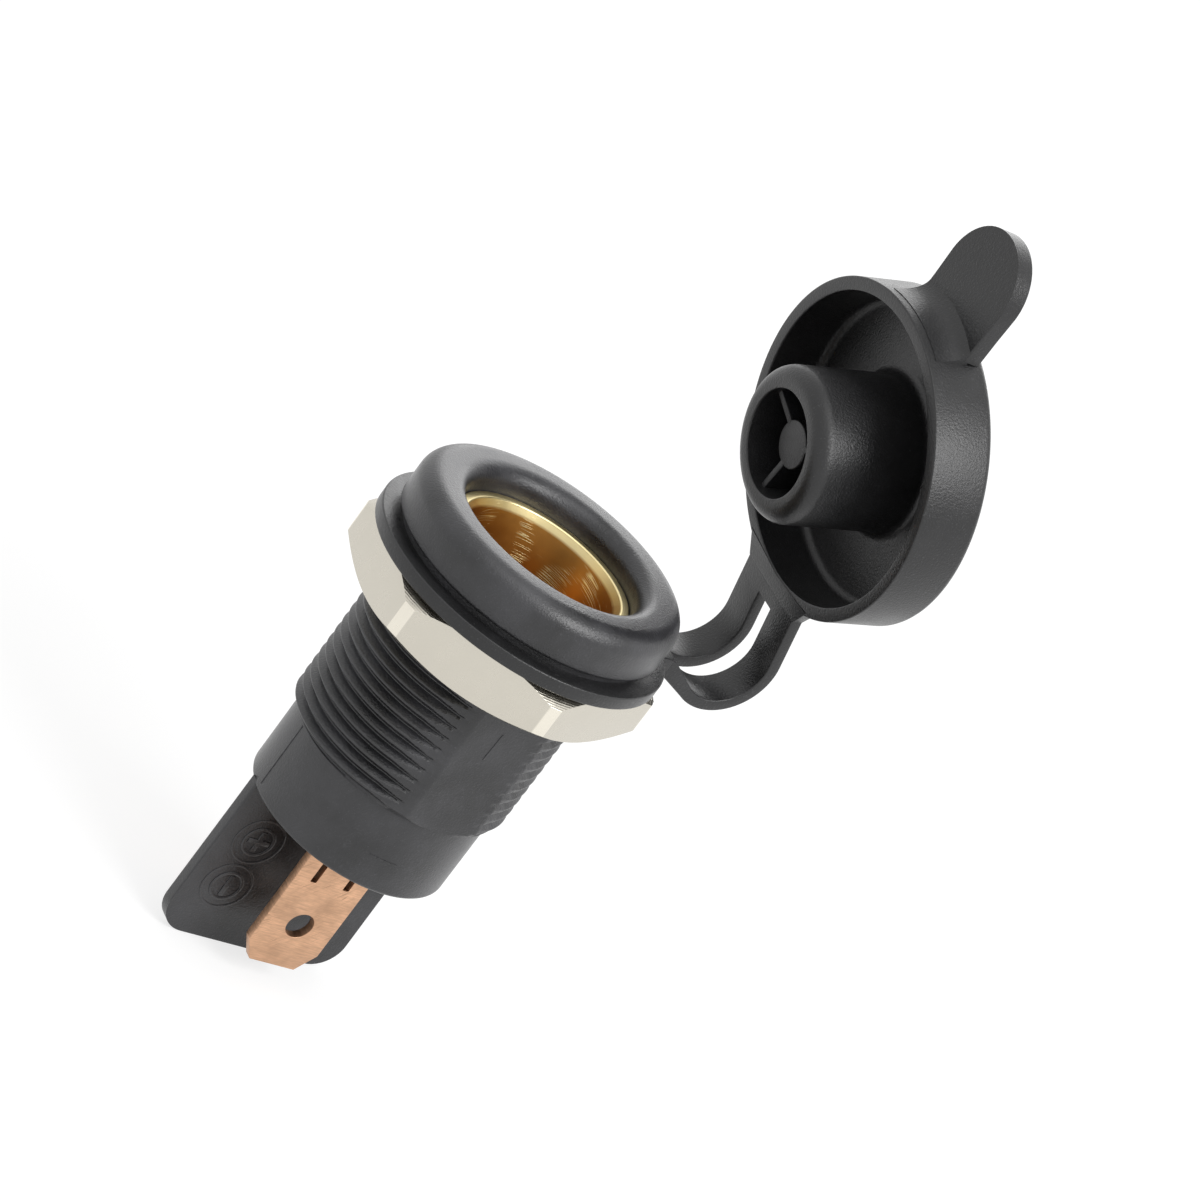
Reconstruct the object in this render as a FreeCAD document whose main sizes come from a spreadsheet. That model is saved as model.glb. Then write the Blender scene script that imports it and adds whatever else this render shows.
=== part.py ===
import FreeCAD, Part
import math
import os
import Sketcher

# Twelve-volt panel socket with a threaded barrel, a panel nut and a tethered sealing cap.
# Millimetres and degrees. Z is the socket axis and points out of the mouth.
# The origin is on that axis in the seat, the underside of the tether ring.
# X points along the tether, and the barrel's flats face +Y and -Y.

SIZES = (
    # barrel
    ("thread_diameter", 18.0),
    ("thread_length", 15.65),
    ("flat_depth", 0.55),
    ("lower_step", 0.75),
    ("barrel_length", 22.3),
    # rim over the tether ring
    ("rim_width", 3.65),
    ("rim_height", 4.3),
    ("rim_round", 1.5),
    ("neck_step", 0.65),
    ("neck_height", 0.6),
    ("mouth_step", 0.55),
    ("mouth_round", 1.2),
    # contact sleeve
    ("bore_diameter", 12.2),
    ("sleeve_wall", 0.7),
    ("sleeve_depth", 16.9),
    ("sleeve_play", 0.05),
    ("lip_drop", 2.0),
    ("lip_thickness", 0.6),
    ("lip_flare", 0.5),
    ("flare_height", 1.0),
    # well below the sleeve, for the centre contact
    ("well_step", 1.1),
    ("well_depth", 2.9),
    # terminal divider under the barrel
    ("plate_inset", 0.1),
    ("plate_thickness", 1.0),
    ("plate_offset", 1.05),
    ("plate_length", 13.8),
    ("plate_round", 2.4),
    # blade terminals and centre contact
    ("blade_width", 6.3),
    ("blade_thickness", 0.8),
    ("blade_offset", 1.95),
    ("blade_length", 12.0),
    ("blade_slot_play", 0.05),
    ("point_width", 1.1),
    ("point_length", 1.7),
    ("eye_diameter", 2.2),
    ("eye_inset", 3.9),
    ("slit_width", 0.55),
    ("slit_pitch", 3.0),
    ("slit_length", 4.1),
    ("foot_width", 4.4),
    ("stud_diameter", 3.2),
    ("stud_height", 1.6),
    ("stud_round", 0.9),
    # panel nut
    ("nut_width", 22.0),
    ("nut_height", 4.1),
    ("nut_play", 0.15),
    ("nut_bevel", 0.5),
    ("nut_chamfer_angle", 30.0),
    ("nut_turn", 23.2),
    # tether ring and straps
    ("ring_overhang", 1.0),
    ("ring_thickness", 1.1),
    ("ring_play", 0.15),
    ("tongue_reach", 0.3),
    ("strap_width", 8.0),
    ("strap_slot", 2.0),
    ("strap_thickness", 0.95),
    ("strap_radius", 3.8),
    ("strap_dip", 28.0),
    ("strap_run", 3.2),
    ("strap_rise", 4.3),
    ("strap_level", 0.35),
    ("root_length", 1.4),
    ("root_depth", 0.45),
    ("web_length", 1.2),
    # sealing cap
    ("open_angle", 75.75),
    ("cap_gap", 0.3),
    ("skirt_wall", 1.05),
    ("cap_height", 4.95),
    ("cap_floor", 0.75),
    ("cap_round", 0.6),
    ("skirt_play", 0.35),
    ("plug_play", 0.35),
    ("plug_length", 5.15),
    ("plug_round", 1.2),
    ("plug_wall", 1.8),
    ("boss_diameter", 3.6),
    ("boss_drop", 1.3),
    ("rib_thickness", 0.8),
    ("rib_drop", 0.5),
    ("rib_sink", 0.4),
    ("rib_turn", 125.0),
    ("tab_width", 8.1),
    ("tab_end_flat", 0.16),
    ("tab_reach", 7.5),
    ("tab_shift", 0.95),
    ("tab_thickness", 1.4),
    ("tab_level", 3.6),
    ("tab_tilt", 14.0),
    ("tab_root", 0.9),
)
RIB_COUNT = 3
CORNER_COUNT = 6
Y_AXIS = FreeCAD.Vector(0, 1, 0)
Z_AXIS = FreeCAD.Vector(0, 0, 1)

# Levels and radii that several pieces share, as expressions of the sheet.
THREAD_RADIUS = "Sizes.thread_diameter / 2"
FLATS_WIDTH = "(Sizes.thread_diameter - 2 * Sizes.flat_depth)"
LOWER_RADIUS = THREAD_RADIUS + " - Sizes.lower_step"
PLATE_HALF = LOWER_RADIUS + " - Sizes.plate_inset"
RIM_TOP = "Sizes.ring_thickness + Sizes.rim_height"
LIP_TOP = RIM_TOP + " - Sizes.lip_drop"
LIP_SEAT = LIP_TOP + " - Sizes.lip_thickness"
SLEEVE_SEAT = LIP_TOP + " - Sizes.sleeve_depth"
FLOOR = SLEEVE_SEAT + " - Sizes.well_depth"
BORE_RADIUS = "Sizes.bore_diameter / 2"
SLEEVE_RADIUS = BORE_RADIUS + " + Sizes.sleeve_wall"
CAVITY_RADIUS = SLEEVE_RADIUS + " + Sizes.sleeve_play"
WELL_RADIUS = BORE_RADIUS + " - Sizes.well_step"
MOUTH_RADIUS = CAVITY_RADIUS + " + Sizes.mouth_step"
RIM_RADIUS = MOUTH_RADIUS + " + Sizes.rim_width"
NECK_RADIUS = RIM_RADIUS + " - Sizes.neck_step"
RING_RADIUS = RIM_RADIUS + " + Sizes.ring_overhang"
SKIRT_RADIUS = RIM_RADIUS + " + Sizes.skirt_play"
CAP_RADIUS = SKIRT_RADIUS + " + Sizes.skirt_wall"
REAR_BLADE = SLEEVE_RADIUS + " - Sizes.blade_thickness"
CAP_SEAT = "Sizes.ring_thickness + Sizes.cap_gap"
CAP_TOP = CAP_SEAT + " + Sizes.cap_height"
CAP_CEILING = CAP_TOP + " - Sizes.cap_floor"
PLUG_TIP = CAP_SEAT + " - Sizes.plug_length"
PLUG_RADIUS = BORE_RADIUS + " - Sizes.plug_play"
PLUG_HOLE = PLUG_RADIUS + " - Sizes.plug_wall"
BOSS_TIP = PLUG_TIP + " + Sizes.boss_drop"
RING_FACE = RING_RADIUS + " + Sizes.tongue_reach"
CAP_FACE = CAP_RADIUS + " + Sizes.tongue_reach"

doc = FreeCAD.newDocument("panel_power_socket")
sheet = doc.addObject("Spreadsheet::Sheet", "Sizes")
for row, (alias, value) in enumerate(SIZES, start=1):
    sheet.set("A%d" % row, alias)
    sheet.set("B%d" % row, str(value))
    sheet.setAlias("B%d" % row, alias)
doc.recompute()


def size(alias):
    """Value of one driving dimension."""
    return float(sheet.get(alias))


def measure(expression):
    """Present value of an expression of the sheet."""
    return float(sheet.evalExpression(expression))


def bind(target, bindings):
    """Tie properties of a document object to the sheet."""
    for name, expression in bindings.items():
        target.setExpression(name, expression)


def new_body(label):
    """Empty body named for its piece."""
    body = doc.addObject("PartDesign::Body", label)
    body.Label = label
    return body


def new_sketch(body, name, role, lift="0", shift="0", axis=None, angle=None):
    """Sketch on one of the body's origin planes, lifted along the plane's normal and turned."""
    plane = [item for item in body.Origin.OriginFeatures if item.Role == role][0]
    sketch = body.newObject("Sketcher::SketchObject", name)
    sketch.AttachmentSupport = (plane, [""])
    sketch.MapMode = "FlatFace"
    if axis:
        sketch.AttachmentOffset = FreeCAD.Placement(FreeCAD.Vector(), FreeCAD.Rotation(axis, 1))
        sketch.setExpression("AttachmentOffset.Rotation.Angle", angle)
    sketch.setExpression("AttachmentOffset.Base.x", shift)
    sketch.setExpression("AttachmentOffset.Base.z", lift)
    return sketch


def drive(sketch, kind, items, expression):
    """Add one dimension to a sketch and tie it to the sheet."""
    index = sketch.addConstraint(Sketcher.Constraint(kind, *items))
    sketch.setExpression("Constraints[%d]" % index, expression)


def place_point(sketch, edge, end, x, y):
    """Hold one point of a sketch at two expressions, measured from the sketch's origin."""
    drawn = sketch.getPoint(edge, end)
    if x == "0":
        sketch.addConstraint(Sketcher.Constraint("PointOnObject", edge, end, -2))
    else:
        drive(sketch, "DistanceX", (-1, 1, edge, end, drawn.x), x)
    if y == "0":
        sketch.addConstraint(Sketcher.Constraint("PointOnObject", edge, end, -1))
    else:
        drive(sketch, "DistanceY", (-1, 1, edge, end, drawn.y), y)


def outline(sketch, corners):
    """Closed outline of straight lines through corners given as pairs of expressions."""
    count = len(corners)
    first = sketch.GeometryCount
    turn = 2 * math.pi / count
    dots = [FreeCAD.Vector(math.cos(turn * i), math.sin(turn * i), 0) for i in range(count)]
    for i in range(count):
        sketch.addGeometry(Part.LineSegment(dots[i], dots[(i + 1) % count]))
    for i in range(count):
        following = first + (i + 1) % count
        sketch.addConstraint(Sketcher.Constraint("Coincident", first + i, 2, following, 1))
    for i, (x, y) in enumerate(corners):
        place_point(sketch, first + i, 1, x, y)


def box_outline(sketch, left, right, low, high):
    """Rectangle between four expressions."""
    outline(sketch, ((left, low), (right, low), (right, high), (left, high)))


def circle_outline(sketch, x, y, radius):
    """Circle whose centre and radius are expressions."""
    index = sketch.addGeometry(Part.Circle(FreeCAD.Vector(1, 1, 0), Z_AXIS, 1.0))
    place_point(sketch, index, 3, x, y)
    drive(sketch, "Radius", (index, 1.0), radius)


def revolve(body, name, corners):
    """Solid of revolution about Z from a half profile of radius and height."""
    sketch = new_sketch(body, name + "_profile", "XZ_Plane")
    outline(sketch, corners)
    feature = body.newObject("PartDesign::Revolution", name)
    feature.Profile = sketch
    feature.ReferenceAxis = (sketch, ["V_Axis"])
    feature.Angle = 360
    doc.recompute()
    return feature


def groove(body, name, corners):
    """Cut round Z from a half profile of radius and height."""
    sketch = new_sketch(body, name + "_profile", "XZ_Plane")
    outline(sketch, corners)
    feature = body.newObject("PartDesign::Groove", name)
    feature.Profile = sketch
    feature.ReferenceAxis = (sketch, ["V_Axis"])
    feature.Angle = 360
    doc.recompute()
    return feature


def pad(body, name, sketch, length, reverse=False, middle=False):
    """Pad a sketch by a length given as an expression."""
    feature = body.newObject("PartDesign::Pad", name)
    feature.Profile = sketch
    feature.Reversed = reverse
    feature.Midplane = middle
    feature.setExpression("Length", length)
    doc.recompute()
    return feature


def pocket(body, name, sketch, length, reverse=False, middle=False):
    """Cut a sketch through the body by a length given as an expression."""
    before = body.Shape.Volume
    feature = body.newObject("PartDesign::Pocket", name)
    feature.Profile = sketch
    feature.Reversed = reverse
    feature.Midplane = middle
    feature.setExpression("Length", length)
    doc.recompute()
    if body.Shape.Volume >= before:
        raise RuntimeError(name + " cuts nothing")
    return feature


def edge_names(shape, wanted):
    """Names of the edges that a test picks."""
    return ["Edge%d" % number for number, edge in enumerate(shape.Edges, start=1) if wanted(edge)]


def is_circle(edge, radius, level):
    """True for a circle about Z of this radius at this height."""
    if not isinstance(edge.Curve, Part.Circle):
        return False
    at_level = abs(edge.Curve.Center.z - level) < 1e-3
    return at_level and abs(edge.Curve.Radius - radius) < 1e-3


def dress(body, kind, name, base, wanted, bindings):
    """Round or bevel the edges of a feature that a test picks."""
    feature = body.newObject(kind, name)
    feature.Base = (base, edge_names(base.Shape, wanted))
    bind(feature, bindings)
    doc.recompute()
    return feature


def make_socket_body():
    """Rim, threaded barrel with two flats, lower barrel and divider plate in one moulding."""
    body = new_body("socket_body")
    neck_top = "Sizes.ring_thickness + Sizes.neck_height"
    turned = revolve(body, "barrel", (
        ("0", "-Sizes.barrel_length"),
        (LOWER_RADIUS, "-Sizes.barrel_length"),
        (LOWER_RADIUS, "-Sizes.thread_length"),
        (THREAD_RADIUS, "-Sizes.thread_length"),
        (THREAD_RADIUS, "Sizes.ring_thickness"),
        (NECK_RADIUS, "Sizes.ring_thickness"),
        (NECK_RADIUS, neck_top),
        (RIM_RADIUS, neck_top),
        (RIM_RADIUS, RIM_TOP),
        (MOUTH_RADIUS, RIM_TOP),
        (MOUTH_RADIUS, LIP_SEAT),
        (CAVITY_RADIUS, LIP_SEAT),
        (CAVITY_RADIUS, SLEEVE_SEAT),
        (WELL_RADIUS, SLEEVE_SEAT),
        (WELL_RADIUS, FLOOR),
        ("0", FLOOR)))
    rim_top = measure(RIM_TOP)
    rounded = dress(body, "PartDesign::Fillet", "rim_rounding", turned,
                    lambda edge: is_circle(edge, measure(RIM_RADIUS), rim_top),
                    {"Radius": "Sizes.rim_round"})
    dress(body, "PartDesign::Fillet", "mouth_rounding", rounded,
          lambda edge: is_circle(edge, measure(MOUTH_RADIUS), rim_top),
          {"Radius": "Sizes.mouth_round"})
    flats = new_sketch(body, "flats_outline", "XY_Plane", "Sizes.ring_thickness")
    for side in ("", "-"):
        box_outline(flats, "-Sizes.thread_diameter", "Sizes.thread_diameter",
                    side + FLATS_WIDTH + " / 2", side + "Sizes.thread_diameter")
    pocket(body, "flats", flats, "Sizes.ring_thickness + Sizes.thread_length")
    plate = new_sketch(body, "plate_outline", "XY_Plane", "-Sizes.barrel_length")
    box_outline(plate, "-(%s)" % PLATE_HALF, PLATE_HALF,
                "Sizes.plate_offset", "Sizes.plate_offset + Sizes.plate_thickness")
    plate_pad = pad(body, "plate", plate, "Sizes.plate_length", reverse=True)
    plate_end = -size("barrel_length") - size("plate_length")
    half_width = measure(PLATE_HALF)

    def is_plate_corner(edge):
        ends = [vertex.Point for vertex in edge.Vertexes]
        low = all(abs(end.z - plate_end) < 1e-3 for end in ends)
        return low and any(all(abs(end.x - side) < 1e-3 for end in ends)
                           for side in (-half_width, half_width))

    dress(body, "PartDesign::Fillet", "plate_corners", plate_pad, is_plate_corner,
          {"Radius": "Sizes.plate_round"})
    half_slot = "Sizes.blade_width / 2 + Sizes.blade_slot_play"
    play = "Sizes.blade_slot_play"
    for name, top, near, far in (
            ("centre_slot", FLOOR, "-Sizes.blade_offset + " + play,
             "-Sizes.blade_offset - Sizes.blade_thickness - " + play),
            ("sleeve_slot", SLEEVE_SEAT, REAR_BLADE + " - " + play,
             REAR_BLADE + " + Sizes.blade_thickness + " + play)):
        slot = new_sketch(body, name + "_outline", "XY_Plane", top)
        box_outline(slot, "-(%s)" % half_slot, half_slot, near, far)
        pocket(body, name, slot, top + " + Sizes.barrel_length")
    return body


def make_contact_sleeve():
    """Drawn sleeve with a flared lip, seated on the step over the well and in the mouth."""
    body = new_body("contact_sleeve")
    lip_radius = MOUTH_RADIUS + " - Sizes.sleeve_play"
    revolve(body, "sleeve", (
        (BORE_RADIUS, SLEEVE_SEAT),
        (SLEEVE_RADIUS, SLEEVE_SEAT),
        (SLEEVE_RADIUS, LIP_SEAT),
        (lip_radius, LIP_SEAT),
        (lip_radius, LIP_TOP),
        (BORE_RADIUS + " + Sizes.lip_flare", LIP_TOP),
        (BORE_RADIUS, LIP_TOP + " - Sizes.flare_height")))
    return body


def blade_outline(sketch, top):
    """Blade with a bevelled end, from a level inside the barrel to its free end."""
    end = "-(Sizes.barrel_length + Sizes.blade_length)"
    half = "Sizes.blade_width / 2"
    narrow = half + " - Sizes.point_width"
    shoulder = end + " + Sizes.point_length"
    outline(sketch, (
        ("-(%s)" % half, top),
        ("-(%s)" % half, shoulder),
        ("-(%s)" % narrow, end),
        (narrow, end),
        (half, shoulder),
        (half, top)))


def make_blade(label, near, top, reverse):
    """Blade terminal with an eye, its near face at a distance from the axis."""
    body = new_body(label)
    profile = new_sketch(body, label + "_outline", "XZ_Plane", near)
    blade_outline(profile, top)
    pad(body, label + "_blade", profile, "Sizes.blade_thickness", reverse)
    eye = new_sketch(body, label + "_eye_outline", "XZ_Plane", near)
    eye_level = "-(Sizes.barrel_length + Sizes.blade_length - Sizes.eye_inset)"
    circle_outline(eye, "0", eye_level, "Sizes.eye_diameter / 2")
    pocket(body, label + "_eye", eye, "Sizes.blade_thickness", not reverse)
    return body


def make_centre_terminal():
    """Front blade with two slits and a foot that lies on the well's floor."""
    body = make_blade("centre_terminal", "Sizes.blade_offset", FLOOR, False)
    slits = new_sketch(body, "slits_outline", "XZ_Plane", "Sizes.blade_offset")
    for side in ("-", ""):
        middle = side + "Sizes.slit_pitch / 2"
        box_outline(slits, middle + " - Sizes.slit_width / 2", middle + " + Sizes.slit_width / 2",
                    "-(Sizes.barrel_length + Sizes.slit_length)", "-Sizes.barrel_length")
    pocket(body, "slits", slits, "Sizes.blade_thickness", True)
    foot = new_sketch(body, "foot_outline", "XY_Plane", FLOOR)
    box_outline(foot, "-Sizes.foot_width / 2", "Sizes.foot_width / 2",
                "-(Sizes.blade_offset + Sizes.blade_thickness)", "Sizes.foot_width / 2")
    pad(body, "foot", foot, "Sizes.blade_thickness")
    return body


def make_centre_contact():
    """Domed stud on the front terminal's foot, in the middle of the bore."""
    body = new_body("centre_contact")
    base = FLOOR + " + Sizes.blade_thickness"
    radius = "Sizes.stud_diameter / 2"
    stud = revolve(body, "stud", (
        ("0", base), (radius, base),
        (radius, base + " + Sizes.stud_height"), ("0", base + " + Sizes.stud_height")))
    top = max(vertex.Point.z for vertex in stud.Shape.Vertexes)
    dress(body, "PartDesign::Fillet", "stud_rounding", stud,
          lambda edge: is_circle(edge, size("stud_diameter") / 2, top),
          {"Radius": "Sizes.stud_round"})
    return body


def make_panel_nut():
    """Hexagon nut with bevelled corners and a cone chamfer on both faces."""
    body = new_body("panel_nut")
    body.Placement = FreeCAD.Placement(FreeCAD.Vector(), FreeCAD.Rotation(Z_AXIS, 1))
    body.setExpression("Placement.Rotation.Angle", "Sizes.nut_turn")
    corner_radius = "Sizes.nut_width / sqrt(3)"
    hexagon = new_sketch(body, "nut_outline", "XY_Plane")
    turn = 360 / CORNER_COUNT
    outline(hexagon, [("%s * cos(%d)" % (corner_radius, turn * i),
                       "%s * sin(%d)" % (corner_radius, turn * i) if i % 3 else "0")
                      for i in range(CORNER_COUNT)])
    blank = pad(body, "nut_blank", hexagon, "Sizes.nut_height", reverse=True)

    def is_upright(edge):
        ends = [vertex.Point for vertex in edge.Vertexes]
        return abs(ends[0].z - ends[1].z) > size("nut_height") / 2

    dress(body, "PartDesign::Chamfer", "nut_corners", blank, is_upright, {"Size": "Sizes.nut_bevel"})
    inscribed = "Sizes.nut_width / 2"
    fall = "(%s - %s) * tan(Sizes.nut_chamfer_angle)" % (corner_radius, inscribed)
    groove(body, "seat_chamfer", (
        (inscribed, "0"), (corner_radius, "0"), (corner_radius, "-" + fall)))
    groove(body, "back_chamfer", (
        (inscribed, "-Sizes.nut_height"), (corner_radius, "-Sizes.nut_height"),
        (corner_radius, "-Sizes.nut_height + " + fall)))
    bore = new_sketch(body, "nut_bore_outline", "XY_Plane")
    circle_outline(bore, "0", "0", THREAD_RADIUS + " + Sizes.nut_play")
    pocket(body, "nut_bore", bore, "Sizes.nut_height")
    return body


def make_tether_ring():
    """Flat ring clamped under the rim, keyed to the barrel's flats, with a tongue for the straps."""
    disc = doc.addObject("Part::Cylinder", "ring_disc")
    bind(disc, {"Radius": RING_RADIUS, "Height": "Sizes.ring_thickness"})
    tongue = doc.addObject("Part::Box", "ring_tongue")
    bind(tongue, {"Length": RING_FACE, "Width": "Sizes.strap_width", "Height": "Sizes.ring_thickness",
                  "Placement.Base.y": "-Sizes.strap_width / 2"})
    blank = doc.addObject("Part::Fuse", "ring_blank")
    blank.Base = disc
    blank.Tool = tongue
    hole = doc.addObject("Part::Cylinder", "ring_hole")
    bind(hole, {"Radius": THREAD_RADIUS + " + Sizes.ring_play", "Height": "Sizes.ring_thickness"})
    key = doc.addObject("Part::Box", "ring_key")
    key_width = FLATS_WIDTH + " + 2 * Sizes.ring_play"
    bind(key, {"Length": "2 * Sizes.thread_diameter", "Width": key_width,
               "Height": "Sizes.ring_thickness", "Placement.Base.x": "-Sizes.thread_diameter",
               "Placement.Base.y": "-(%s) / 2" % key_width})
    keyhole = doc.addObject("Part::Common", "ring_keyhole")
    keyhole.Base = hole
    keyhole.Tool = key
    ring = doc.addObject("Part::Cut", "tether_ring")
    ring.Label = "tether_ring"
    ring.Base = blank
    ring.Tool = keyhole
    doc.recompute()
    return ring


# The strap's middle line in the XZ plane: a run down from the ring, a bow and a rise to the cap.
LEAN = "(90 - Sizes.open_angle)"
BOW_X = RING_FACE + " + Sizes.strap_run * cos(Sizes.strap_dip) + Sizes.strap_radius * sin(Sizes.strap_dip)"
BOW_Z = ("Sizes.strap_level - Sizes.strap_run * sin(Sizes.strap_dip)"
         " + Sizes.strap_radius * cos(Sizes.strap_dip)")


def strap_side(offset):
    """Root, bow start, bow end and tip of one side of the strap, as pairs of expressions."""
    radius = "(Sizes.strap_radius %s Sizes.strap_thickness / 2)" % offset
    root_z = "Sizes.strap_level - (%s - Sizes.strap_radius) / cos(Sizes.strap_dip)" % radius
    end_x = "%s + %s * cos(%s)" % (BOW_X, radius, LEAN)
    end_z = "%s + %s * sin(%s)" % (BOW_Z, radius, LEAN)
    return (
        (RING_FACE, root_z),
        ("%s - %s * sin(Sizes.strap_dip)" % (BOW_X, radius),
         "%s - %s * cos(Sizes.strap_dip)" % (BOW_Z, radius)),
        (end_x, end_z),
        ("%s - Sizes.strap_rise * sin(%s)" % (end_x, LEAN),
         "%s + Sizes.strap_rise * cos(%s)" % (end_z, LEAN)))


def bow_arc(sketch, offset):
    """One side of the bow, drawn where the sheet puts it."""
    radius = size("strap_radius") + offset * size("strap_thickness") / 2
    dip = math.radians(size("strap_dip"))
    middle = FreeCAD.Vector(measure(BOW_X), measure(BOW_Z), 0)
    circle = Part.Circle(middle, Z_AXIS, radius)
    lean = math.radians(90 - size("open_angle"))
    return sketch.addGeometry(Part.ArcOfCircle(circle, -math.pi / 2 - dip, lean))


def strap_outline(sketch):
    """Closed side view of the strap: two bowed sides joined at the root and at the tip."""
    ends = []
    for offset, sign in (("+", 1), ("-", -1)):
        root, bow_start, bow_end, tip = strap_side(offset)
        bow = bow_arc(sketch, sign)
        place_point(sketch, bow, 3, BOW_X, BOW_Z)
        place_point(sketch, bow, 1, *bow_start)
        drive(sketch, "DistanceY", (-1, 1, bow, 2, sketch.getPoint(bow, 2).y), bow_end[1])
        run = sketch.addGeometry(Part.LineSegment(FreeCAD.Vector(1, -sign, 0), FreeCAD.Vector(2, -sign, 0)))
        rise = sketch.addGeometry(Part.LineSegment(FreeCAD.Vector(2, -sign, 0), FreeCAD.Vector(2, sign, 0)))
        place_point(sketch, run, 1, *root)
        place_point(sketch, rise, 2, *tip)
        sketch.addConstraint(Sketcher.Constraint("Coincident", run, 2, bow, 1))
        sketch.addConstraint(Sketcher.Constraint("Coincident", bow, 2, rise, 1))
        ends.append((run, rise))
    (outer_run, outer_rise), (inner_run, inner_rise) = ends
    for edge, end, other in ((outer_run, 1, inner_run), (outer_rise, 2, inner_rise)):
        closing = sketch.addGeometry(Part.LineSegment(FreeCAD.Vector(0, 1, 0), FreeCAD.Vector(0, 2, 0)))
        sketch.addConstraint(Sketcher.Constraint("Coincident", closing, 1, edge, end))
        sketch.addConstraint(Sketcher.Constraint("Coincident", closing, 2, other, end))


def make_tether_straps():
    """Two bent straps with a common root and a common web at the cap."""
    body = new_body("tether_straps")
    band = new_sketch(body, "band_outline", "XZ_Plane")
    strap_outline(band)
    pad(body, "band", band, "Sizes.strap_width", middle=True)
    block = new_sketch(body, "root_outline", "XZ_Plane")
    box_outline(block, RING_FACE, RING_FACE + " + Sizes.root_length",
                "-Sizes.root_depth", "Sizes.ring_thickness")
    pad(body, "root", block, "Sizes.strap_width", middle=True)
    gap = new_sketch(body, "slot_outline", "XZ_Plane")
    beyond = BOW_X + " + Sizes.strap_radius + Sizes.strap_thickness"
    below = BOW_Z + " - Sizes.strap_radius - Sizes.strap_thickness"
    web = strap_side("+")[3][1] + " - Sizes.web_length * cos(%s)" % LEAN
    box_outline(gap, RING_FACE + " + Sizes.root_length", beyond, below, web)
    pocket(body, "slot", gap, "Sizes.strap_slot", middle=True)
    return body


def make_sealing_cap():
    """Cap drawn closed over the rim, with its plug, ribs and pull tab, then swung open."""
    body = new_body("sealing_cap")
    shell = revolve(body, "shell", (
        ("0", CAP_TOP),
        (CAP_RADIUS, CAP_TOP),
        (CAP_RADIUS, CAP_SEAT),
        (SKIRT_RADIUS, CAP_SEAT),
        (SKIRT_RADIUS, CAP_CEILING),
        (PLUG_RADIUS, CAP_CEILING),
        (PLUG_RADIUS, PLUG_TIP),
        (PLUG_HOLE, PLUG_TIP),
        (PLUG_HOLE, CAP_CEILING),
        ("Sizes.boss_diameter / 2", CAP_CEILING),
        ("Sizes.boss_diameter / 2", BOSS_TIP),
        ("0", BOSS_TIP)))
    nose = dress(body, "PartDesign::Fillet", "plug_rounding", shell,
                 lambda edge: is_circle(edge, measure(PLUG_RADIUS), measure(PLUG_TIP)),
                 {"Radius": "Sizes.plug_round"})
    dress(body, "PartDesign::Fillet", "cap_rounding", nose,
          lambda edge: is_circle(edge, measure(CAP_RADIUS), measure(CAP_TOP)),
          {"Radius": "Sizes.cap_round"})
    tongue = new_sketch(body, "cap_tongue_outline", "XY_Plane", CAP_SEAT)
    box_outline(tongue, SKIRT_RADIUS + " + Sizes.tongue_reach", CAP_FACE,
                "-Sizes.strap_width / 2", "Sizes.strap_width / 2")
    pad(body, "cap_tongue", tongue, "Sizes.strap_thickness")
    tab = new_sketch(body, "tab_outline", "XY_Plane", CAP_SEAT + " + Sizes.tab_level",
                     "-(%s - Sizes.tab_root)" % CAP_RADIUS, Y_AXIS, "Sizes.tab_tilt")
    box_outline(tab, "-(Sizes.tab_reach + Sizes.tab_root)", "0",
                "-Sizes.tab_width / 2 - Sizes.tab_shift", "Sizes.tab_width / 2 - Sizes.tab_shift")
    tab_pad = pad(body, "tab", tab, "Sizes.tab_thickness", middle=True)
    far = min(vertex.Point.x for vertex in tab_pad.Shape.Vertexes)
    lean = math.sin(math.radians(size("tab_tilt"))) * size("tab_thickness")

    def is_tab_corner(edge):
        ends = [vertex.Point for vertex in edge.Vertexes]
        across = abs(ends[0].y - ends[-1].y) > 1e-3
        return not across and all(end.x < far + lean + 1e-3 for end in ends)

    dress(body, "PartDesign::Fillet", "tab_end", tab_pad, is_tab_corner,
          {"Radius": "(Sizes.tab_width - Sizes.tab_end_flat) / 2"})
    rib = new_sketch(body, "rib_outline", "XY_Plane", BOSS_TIP + " + Sizes.rib_drop",
                     axis=Z_AXIS, angle="Sizes.rib_turn")
    box_outline(rib, "Sizes.boss_diameter / 2 - Sizes.rib_sink", PLUG_HOLE + " + Sizes.rib_sink",
                "-Sizes.rib_thickness / 2", "Sizes.rib_thickness / 2")
    rib_pad = pad(body, "rib", rib, "%s - (%s + Sizes.rib_drop)" % (CAP_CEILING, BOSS_TIP))
    ribs = body.newObject("PartDesign::PolarPattern", "ribs")
    ribs.Originals = [rib_pad]
    ribs.Axis = (rib, ["N_Axis"])
    ribs.Angle = 360
    ribs.Occurrences = RIB_COUNT
    body.Tip = ribs
    doc.recompute()
    swing_open(body)
    return body


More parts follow.
